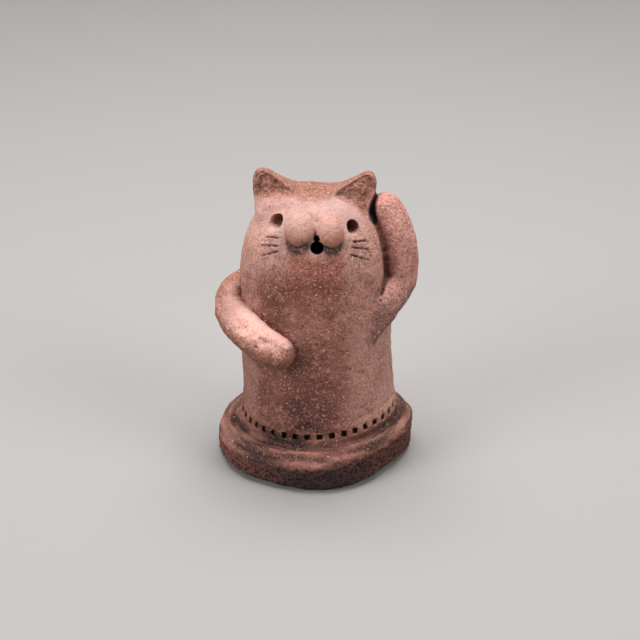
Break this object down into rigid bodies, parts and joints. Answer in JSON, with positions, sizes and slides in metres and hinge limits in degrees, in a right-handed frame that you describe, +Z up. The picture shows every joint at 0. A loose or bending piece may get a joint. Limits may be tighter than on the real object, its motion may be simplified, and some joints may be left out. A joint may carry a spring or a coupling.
{
  "type": "haniwa cat figure",
  "caption": "Hollow hand-built clay cat in the manner of a haniwa: a tube body on a round stitched slab, rolled arms with one hand raised to the ear, pierced eyes and mouth.",
  "frame": {"origin": "on the floor, under the middle of the figure's bounding box", "axes": "+Z up; the cat's face looks along -Y; +X is to the viewer's right, the side of the raised hand"},
  "size_m": [0.0503, 0.05, 0.0754],
  "materials": {
    "fired_clay": "unglazed, gritty, matt"
  },
  "bodies": {
    "root": {"cat_figure": "fired_clay"}
  },
  "joints": []
}
